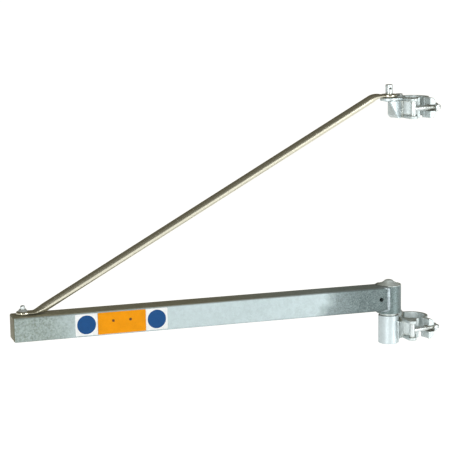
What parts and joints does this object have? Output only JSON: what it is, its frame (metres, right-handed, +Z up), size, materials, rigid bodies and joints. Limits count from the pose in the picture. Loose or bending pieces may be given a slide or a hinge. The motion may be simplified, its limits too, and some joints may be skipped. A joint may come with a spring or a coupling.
{
  "type": "slewing winch jib",
  "caption": "Slewing winch jib: square-tube beam on a pivot sleeve, held by a bent tie rod and clamped to an upright scaffold tube with hinged couplers",
  "frame": {"origin": "on the axis of the scaffold tube, at the middle of the lower coupler", "axes": "+Z up along the scaffold tube, the jib points along -X at rest, +Y to the side where the couplers' hinges are"},
  "size_m": [0.7259, 0.0919, 0.4385],
  "materials": {
    "galvanised_beam": "hot-dip galvanised, faintly spangled",
    "galvanised_rod": "galvanised bar, smooth",
    "zinc_forging": "bright zinc on a forging",
    "zinc_fastener": "bright zinc",
    "zinc_plate": "pale zinc, welded",
    "steel_pin": "zinc plated bar",
    "orange_plate": "orange enamel, bare of print"
  },
  "bodies": {
    "bracket": {"lower_coupler_body": "zinc_forging", "lower_hinge_pin": "zinc_fastener", "upper_coupler_body": "zinc_forging", "upper_hinge_pin": "zinc_fastener", "pivot_sleeve": "zinc_plate", "thrust_washer": "zinc_plate", "top_plate": "zinc_plate", "gusset": "zinc_plate", "upper_pin": "steel_pin"},
    "jib": {"jib_beam": "galvanised_beam", "beam_end_cap": "galvanised_beam", "hub_tube": "galvanised_beam", "hub_top_ring": "galvanised_beam", "hub_bottom_ring": "galvanised_beam", "pivot_pin": "steel_pin", "tie_rod": "galvanised_rod", "tip_pin": "steel_pin", "tip_washer": "zinc_fastener", "rating_plate": "orange_plate", "plate_rivets": "zinc_fastener"},
    "lower_flap": {"lower_coupler_flap": "zinc_forging"},
    "lower_bolt": {"lower_t_bolt": "zinc_fastener"},
    "lower_nut": {"lower_collar_nut": "zinc_fastener"},
    "upper_flap": {"upper_coupler_flap": "zinc_forging"},
    "upper_bolt": {"upper_t_bolt": "zinc_fastener"},
    "upper_nut": {"upper_collar_nut": "zinc_fastener"}
  },
  "joints": [
    {"name": "jib_slew", "type": "hinge", "parent": "bracket", "child": "jib", "pos_m": [-0.04548, -0.00967, 0.05], "axis": [0, 0, 1], "range_deg": [-78, 102]},
    {"name": "lower_flap_open", "type": "hinge", "parent": "bracket", "child": "lower_flap", "pos_m": [-0.00749, 0.03521, 0], "axis": [0, 0, 1], "range_deg": [0, 6]},
    {"name": "lower_bolt_swing", "type": "hinge", "parent": "bracket", "child": "lower_bolt", "pos_m": [-0.01578, -0.04118, 0], "axis": [0, 0, -1], "range_deg": [0, 85]},
    {"name": "lower_nut_run", "type": "slide", "parent": "lower_bolt", "child": "lower_nut", "axis": [0.9781, 0.2079, 0], "range_m": [0, 0.0085]},
    {"name": "upper_flap_open", "type": "hinge", "parent": "bracket", "child": "upper_flap", "pos_m": [-0.00749, 0.03521, 0.3745], "axis": [0, 0, 1], "range_deg": [0, 6]},
    {"name": "upper_bolt_swing", "type": "hinge", "parent": "bracket", "child": "upper_bolt", "pos_m": [-0.01578, -0.04118, 0.3745], "axis": [0, 0, -1], "range_deg": [0, 85]},
    {"name": "upper_nut_run", "type": "slide", "parent": "upper_bolt", "child": "upper_nut", "axis": [0.9781, 0.2079, 0], "range_m": [0, 0.0085]}
  ],
  "couplings": [
    {"joint": "lower_nut_run", "follows": "lower_flap_open", "m_per_rad": 0.08},
    {"joint": "upper_nut_run", "follows": "upper_flap_open", "m_per_rad": 0.08}
  ]
}
